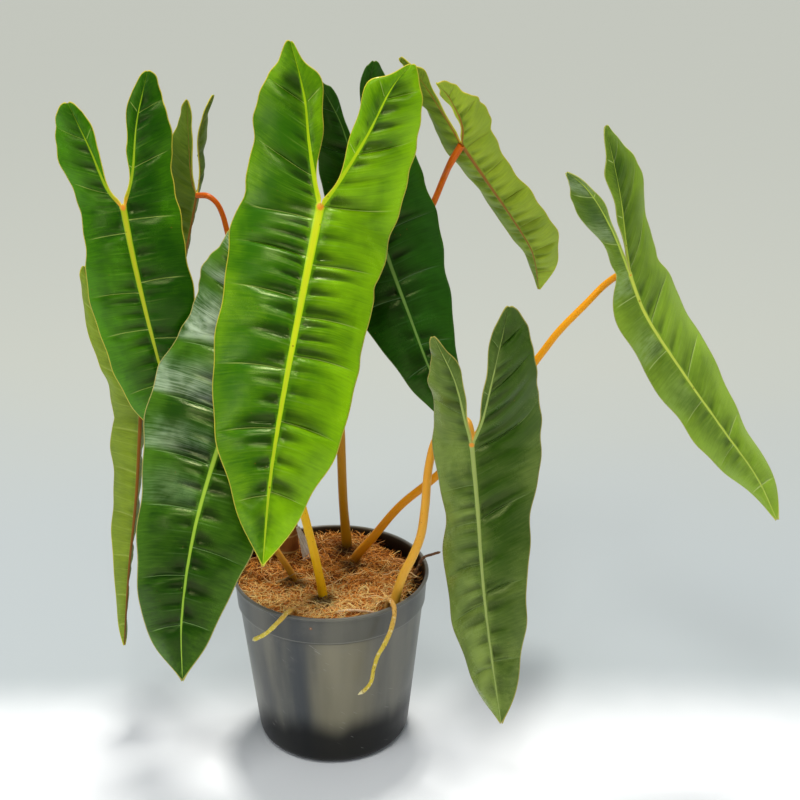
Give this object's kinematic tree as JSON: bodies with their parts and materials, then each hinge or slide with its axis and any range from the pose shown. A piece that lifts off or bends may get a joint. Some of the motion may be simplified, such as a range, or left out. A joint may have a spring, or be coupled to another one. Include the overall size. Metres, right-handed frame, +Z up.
{
  "type": "potted foliage plant",
  "caption": "Potted philodendron billietiae with long drooping two-lobed leaves on orange stalks, in a black nursery pot filled with coir.",
  "frame": {"origin": "centre of the pot's underside", "axes": "+Z up along the pot axis, -Y towards the side with the largest leaf"},
  "size_m": [0.656, 0.3989, 0.6651],
  "materials": {
    "pot_plastic": "satin black",
    "coir_fibre": "coarse fibre",
    "stem_bark": "dull",
    "dry_sheath": "dry and papery",
    "petiole_orange": "waxy",
    "leaf_green": "glossy above, paler below",
    "root_tan": "dull",
    "root_brown": "dull",
    "root_pale": "dull"
  },
  "bodies": {
    "root": {"pot": "pot_plastic", "coir": "coir_fibre", "stem": "stem_bark", "cataphyll": "dry_sheath", "petiole_1": "petiole_orange", "petiole_2": "petiole_orange", "petiole_3": "petiole_orange", "petiole_4": "petiole_orange", "petiole_5": "petiole_orange", "petiole_6": "petiole_orange", "petiole_7": "petiole_orange", "petiole_8": "petiole_orange", "petiole_9": "petiole_orange", "blade_1": "leaf_green", "blade_2": "leaf_green", "blade_3": "leaf_green", "blade_4": "leaf_green", "blade_5": "leaf_green", "blade_6": "leaf_green", "blade_7": "leaf_green", "blade_8": "leaf_green", "blade_9": "leaf_green", "root_front_left": "root_tan", "root_front_right": "root_tan", "root_right": "root_brown", "surface_root": "root_pale"}
  },
  "joints": []
}
